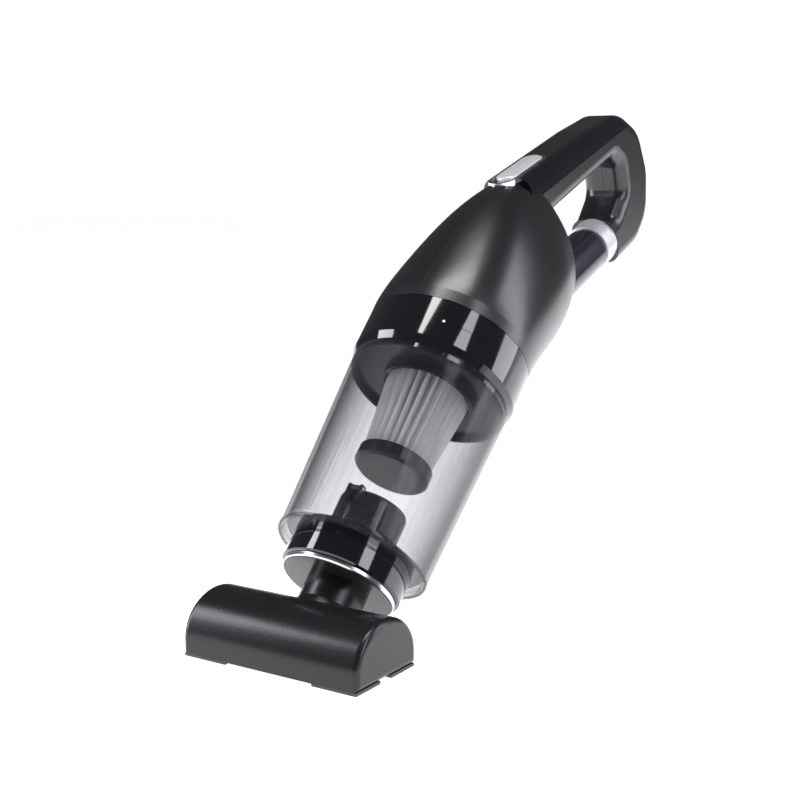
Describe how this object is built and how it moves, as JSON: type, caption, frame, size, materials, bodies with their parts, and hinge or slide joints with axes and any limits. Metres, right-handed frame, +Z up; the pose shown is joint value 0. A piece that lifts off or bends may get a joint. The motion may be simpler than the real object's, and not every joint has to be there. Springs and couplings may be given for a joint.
{
  "type": "handheld vacuum cleaner",
  "caption": "Cordless handheld vacuum with a clear dust cup, pleated filter, loop handle with battery tube and a small swivelling floor head.",
  "frame": {"origin": "on the floor, at the middle of the floor head's suction mouth", "axes": "+X the way the nose points, along the tool's length; +Y the tool's left; +Z up"},
  "size_m": [0.3907, 0.1, 0.2595],
  "materials": {
    "housing_left": "black gloss moulding",
    "housing_right": "black gloss moulding",
    "grip_cover": "black high gloss",
    "switch_bezel": "bright plated",
    "switch_body": "moulded, matt",
    "battery_tube": "dark purple-grey metallic",
    "battery_cell_tube": "shrink sleeve",
    "battery_cell_grip": "shrink sleeve",
    "cell_liner": "moulded, matt",
    "tube_ring": "bright plated",
    "charging_port": "machined",
    "control_board": "green board",
    "housing_screws": "steel",
    "housing_spigot": "moulded, matt",
    "housing_seal": "soft rubber",
    "motor_mount": "moulded, matt",
    "motor_can": "zinc plated",
    "motor_magnets": "ferrite",
    "front_bush": "machined",
    "rear_bush": "machined",
    "fan_shroud": "moulded, matt",
    "motor_shaft": "steel",
    "armature": "copper windings",
    "impeller": "moulded, matt",
    "switch_button": "silver paint under lacquer",
    "filter_plate": "black gloss",
    "filter_seal": "soft rubber",
    "filter_pleats": "pleated filter paper",
    "filter_core": "moulded, matt",
    "filter_cap": "black gloss",
    "cup_collar": "black gloss",
    "cup_shell": "clear moulded plastic, light smoke",
    "nose_collar": "black gloss",
    "inlet_tube": "dark translucent plastic",
    "inlet_flap": "soft rubber",
    "flap_pin": "steel",
    "swivel_ring": "bright plated",
    "head_shell": "satin black moulding",
    "head_cap_left": "satin black moulding",
    "head_cap_right": "satin black moulding",
    "neck_tube": "satin black moulding",
    "sole_plate": "moulded, matt",
    "sole_screws": "steel",
    "lint_strips": "brushed lint pick-up strip",
    "glide_feet": "felted glide feet"
  },
  "bodies": {
    "motor_unit": {"housing_left": "housing_left", "housing_right": "housing_right", "grip_cover": "grip_cover", "switch_bezel": "switch_bezel", "switch_body": "switch_body", "battery_tube": "battery_tube", "battery_cell_tube": "battery_cell_tube", "battery_cell_grip": "battery_cell_grip", "cell_liner": "cell_liner", "tube_ring": "tube_ring", "charging_port": "charging_port", "control_board": "control_board", "housing_screws": "housing_screws", "housing_spigot": "housing_spigot", "housing_seal": "housing_seal", "motor_mount": "motor_mount", "motor_can": "motor_can", "motor_magnets": "motor_magnets", "front_bush": "front_bush", "rear_bush": "rear_bush", "fan_shroud": "fan_shroud"},
    "rotor": {"motor_shaft": "motor_shaft", "armature": "armature", "impeller": "impeller"},
    "power_switch": {"switch_button": "switch_button"},
    "filter_set": {"filter_plate": "filter_plate", "filter_seal": "filter_seal", "filter_pleats": "filter_pleats", "filter_core": "filter_core", "filter_cap": "filter_cap"},
    "dust_cup": {"cup_collar": "cup_collar", "cup_shell": "cup_shell", "nose_collar": "nose_collar", "inlet_tube": "inlet_tube"},
    "dust_flap": {"inlet_flap": "inlet_flap", "flap_pin": "flap_pin"},
    "swivel": {"swivel_ring": "swivel_ring"},
    "floor_head": {"head_shell": "head_shell", "head_cap_left": "head_cap_left", "head_cap_right": "head_cap_right", "neck_tube": "neck_tube", "sole_plate": "sole_plate", "sole_screws": "sole_screws", "lint_strips": "lint_strips", "glide_feet": "glide_feet"}
  },
  "joints": [
    {"name": "fan_spin", "type": "hinge", "parent": "motor_unit", "child": "rotor", "pos_m": [-0.14498, 0, 0.14314], "axis": [-0.6984, 0, 0.7157], "continuous": true},
    {"name": "power_slide", "type": "slide", "parent": "motor_unit", "child": "power_switch", "axis": [0.9489, 0, -0.3156], "range_m": [0, 0.006]},
    {"name": "filter_pull", "type": "slide", "parent": "motor_unit", "child": "filter_set", "axis": [0.6984, 0, -0.7157], "range_m": [0, 0.11]},
    {"name": "cup_twist", "type": "hinge", "parent": "filter_set", "child": "dust_cup", "pos_m": [-0.11705, 0, 0.11451], "axis": [-0.6984, 0, 0.7157], "range_deg": [-30, 0]},
    {"name": "flap_hinge", "type": "hinge", "parent": "dust_cup", "child": "dust_flap", "pos_m": [-0.04867, 0, 0.07365], "axis": [0, 1, 0], "range_deg": [0, 30]},
    {"name": "head_swivel", "type": "hinge", "parent": "dust_cup", "child": "swivel", "pos_m": [-0.02975, 0, 0.02505], "axis": [-0.6984, 0, 0.7157], "continuous": true},
    {"name": "head_pull", "type": "slide", "parent": "swivel", "child": "floor_head", "axis": [0.6984, 0, -0.7157], "range_m": [0, 0.03]}
  ]
}
